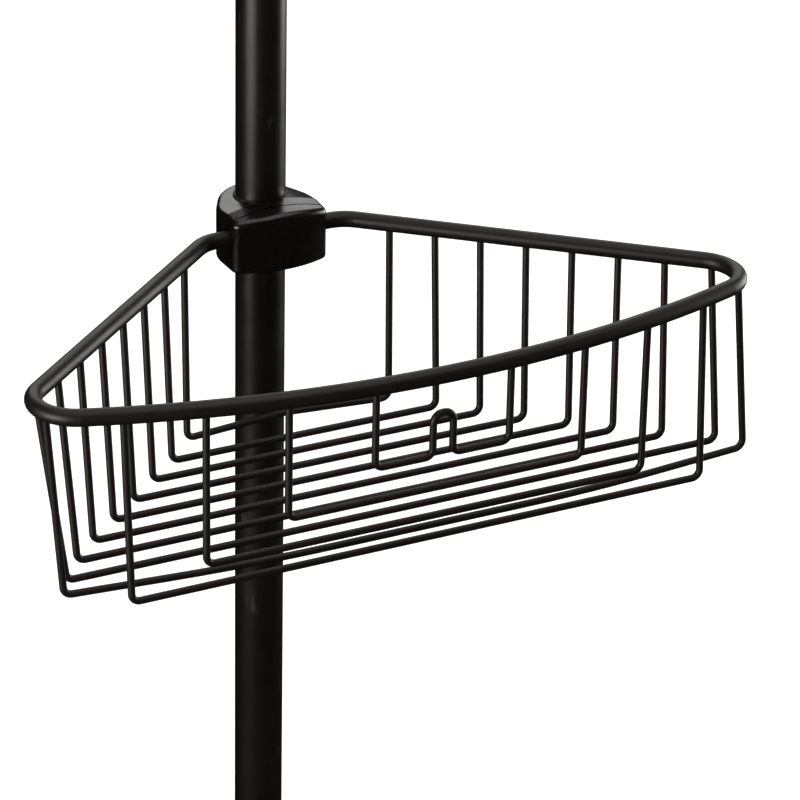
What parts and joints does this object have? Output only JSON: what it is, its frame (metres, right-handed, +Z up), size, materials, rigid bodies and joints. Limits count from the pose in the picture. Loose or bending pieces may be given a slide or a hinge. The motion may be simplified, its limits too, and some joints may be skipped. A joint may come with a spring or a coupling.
{
  "type": "shower caddy",
  "caption": "Corner shower caddy: a black wire basket clamped to a telescoping tension pole with a twist lock.",
  "frame": {"origin": "centre of the floor pad's underside", "axes": "+Z up along the pole, -Y from the pole towards the basket's front, +X to the right seen from the front"},
  "size_m": [0.3762, 0.2313, 0.93],
  "materials": {
    "basket_coat": "satin",
    "pole_coat": "satin",
    "clamp_plastic": "gloss",
    "sleeve_plastic": "matte",
    "cup_plastic": "satin",
    "bush_plastic": "matte",
    "rubber": "matte",
    "fastener_steel": "satin",
    "spring_steel": "satin"
  },
  "bodies": {
    "pole": {"floor_pad": "rubber", "foot_cup": "cup_plastic", "outer_tube": "pole_coat", "lock_socket": "cup_plastic", "collet": "bush_plastic"},
    "lock_collar": {"twist_collar": "cup_plastic"},
    "upper_pole": {"inner_tube": "pole_coat", "guide_bush": "bush_plastic", "spring_seat": "bush_plastic", "end_bush": "bush_plastic", "pressure_spring": "spring_steel"},
    "sprung_top": {"plunger_rod": "spring_steel", "top_cup": "cup_plastic", "top_pad": "rubber"},
    "grip": {"grip_sleeve": "sleeve_plastic"},
    "basket": {"clamp_body": "clamp_plastic", "clamp_cover": "clamp_plastic", "clamp_screws": "fastener_steel", "clamp_nuts": "fastener_steel", "rim_rod": "basket_coat", "floor_hoop_1": "basket_coat", "floor_hoop_2": "basket_coat", "floor_hoop_3": "basket_coat", "floor_hoop_4": "basket_coat", "floor_hoop_5": "basket_coat", "floor_hoop_6": "basket_coat", "floor_hoop_7": "basket_coat", "floor_hoop_8": "basket_coat", "floor_hoop_9": "basket_coat", "floor_hoop_10": "basket_coat", "front_loop_wide": "basket_coat", "front_loop_narrow": "basket_coat", "hook_loop": "basket_coat"}
  },
  "joints": [
    {"name": "twist_lock", "type": "hinge", "parent": "pole", "child": "lock_collar", "pos_m": [0, 0, 0.75], "axis": [0, 0, 1], "range_deg": [0, 90]},
    {"name": "telescope", "type": "slide", "parent": "pole", "child": "upper_pole", "axis": [0, 0, 1], "range_m": [-0.075, 0.34]},
    {"name": "top_spring", "type": "slide", "parent": "upper_pole", "child": "sprung_top", "axis": [0, 0, 1], "range_m": [-0.025, 0], "stiffness_N_per_m": 1500, "springref_m": 0.01, "deforming": ["pressure_spring"]},
    {"name": "basket_height", "type": "slide", "parent": "pole", "child": "grip", "axis": [0, 0, 1], "range_m": [-0.25, 0.27]},
    {"name": "basket_swing", "type": "hinge", "parent": "grip", "child": "basket", "pos_m": [0, 0, 0.42], "axis": [0, 0, 1], "range_deg": [-180, 180]}
  ]
}
